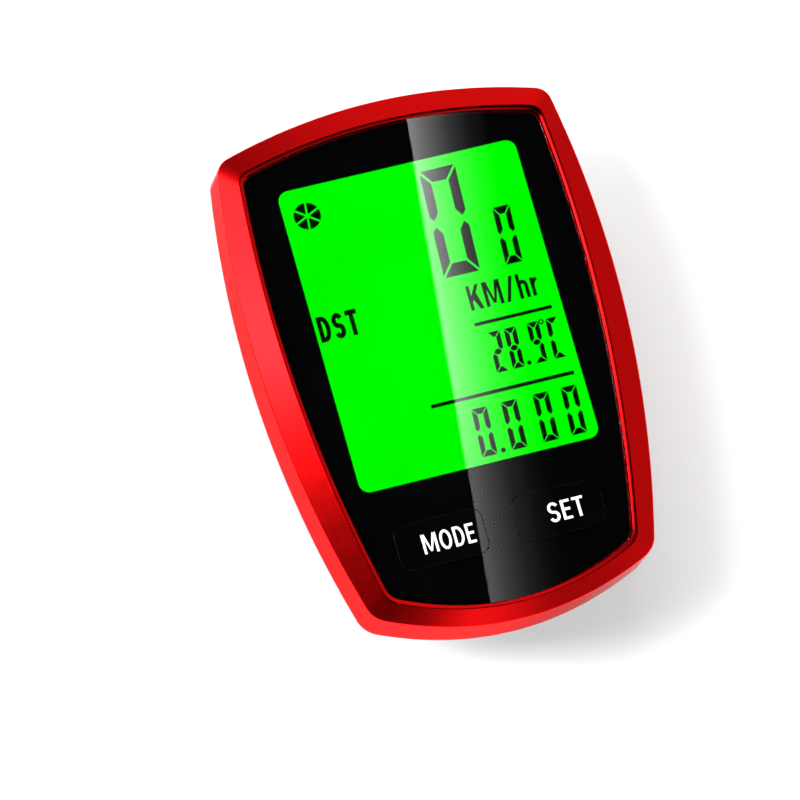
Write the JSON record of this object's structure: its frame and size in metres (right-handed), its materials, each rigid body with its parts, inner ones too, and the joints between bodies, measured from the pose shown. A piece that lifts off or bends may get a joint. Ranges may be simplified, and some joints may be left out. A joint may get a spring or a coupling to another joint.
{
  "type": "cycling computer",
  "caption": "Wireless cycling computer: a shield-shaped head with a green screen and two flush keys, on a slide-off handlebar bracket with a spring latch.",
  "frame": {"origin": "centre of the underside's box, on the plane that the bracket's pad stands on", "axes": "+Z out of the screen, +Y towards the top of the screen, +X to the right of the screen"},
  "size_m": [0.046, 0.0662, 0.0212],
  "materials": {
    "red_shell": "glossy red enamel",
    "black_panel": "high gloss",
    "window": "clear, polished",
    "green_screen": "backlit, satin",
    "lcd_glass": "clear",
    "light_guide_plastic": "clear acrylic",
    "white_plastic": "matte",
    "zebra_rubber": "matte",
    "circuit_board": "solder mask",
    "black_plastic": "fine spark texture",
    "steel": "plated",
    "contact_brass": "plated spring brass",
    "ferrite": "dull",
    "copper_wire": "enamelled winding",
    "black_rubber": "matte"
  },
  "bodies": {
    "bracket": {"dock": "black_plastic", "dock_pad": "black_rubber", "latch_pin": "steel", "latch_spring": "steel"},
    "latch": {"latch_lever": "black_plastic"},
    "head": {"front_bezel": "red_shell", "window_lens": "window", "panel_mask": "black_panel", "lcd_front_polariser": "green_screen", "lcd_front_glass": "lcd_glass", "lcd_rear_glass": "lcd_glass", "lcd_diffuser": "white_plastic", "light_guide": "light_guide_plastic", "reflector_film": "white_plastic", "lcd_holder": "white_plastic", "zebra_connector": "zebra_rubber", "backlight_led_left": "white_plastic", "backlight_led_right": "white_plastic", "main_board": "circuit_board", "board_screw_1": "steel", "board_screw_2": "steel", "controller_chip": "black_plastic", "crystal_can": "steel", "capacitor": "black_plastic", "antenna_core": "ferrite", "antenna_coil": "copper_wire", "contact_negative": "contact_brass", "contact_positive": "contact_brass", "mode_switch": "steel", "set_switch": "steel", "battery_cell": "steel", "battery_seal": "black_rubber", "rear_case": "black_plastic", "case_seal": "black_rubber", "case_screw_1": "steel", "case_screw_2": "steel", "case_screw_3": "steel", "case_screw_4": "steel"},
    "mode_button": {"mode_key": "black_panel", "mode_plunger": "black_plastic"},
    "set_button": {"set_key": "black_panel", "set_plunger": "black_plastic"},
    "battery_door": {"battery_cover": "black_plastic"}
  },
  "joints": [
    {"name": "head_slide", "type": "slide", "parent": "bracket", "child": "head", "axis": [0, 1, 0], "range_m": [0, 0.03], "deforming": ["latch_lever"]},
    {"name": "latch_press", "type": "hinge", "parent": "bracket", "child": "latch", "pos_m": [0, 0.0083, 0.0039], "axis": [-1, 0, 0], "range_deg": [0, 7], "stiffness_Nm_per_rad": 0.6, "springref_deg": -1.72, "deforming": ["latch_spring"]},
    {"name": "mode_press", "type": "slide", "parent": "head", "child": "mode_button", "axis": [0, 0, -1], "range_m": [0, 0.0005], "stiffness_N_per_m": 3000, "springref_m": -0.0002},
    {"name": "set_press", "type": "slide", "parent": "head", "child": "set_button", "axis": [0, 0, -1], "range_m": [0, 0.0005], "stiffness_N_per_m": 3000, "springref_m": -0.0002},
    {"name": "battery_door_turn", "type": "hinge", "parent": "head", "child": "battery_door", "pos_m": [0, 0, 0.0059], "axis": [0, 0, -1], "range_deg": [0, 50]}
  ]
}
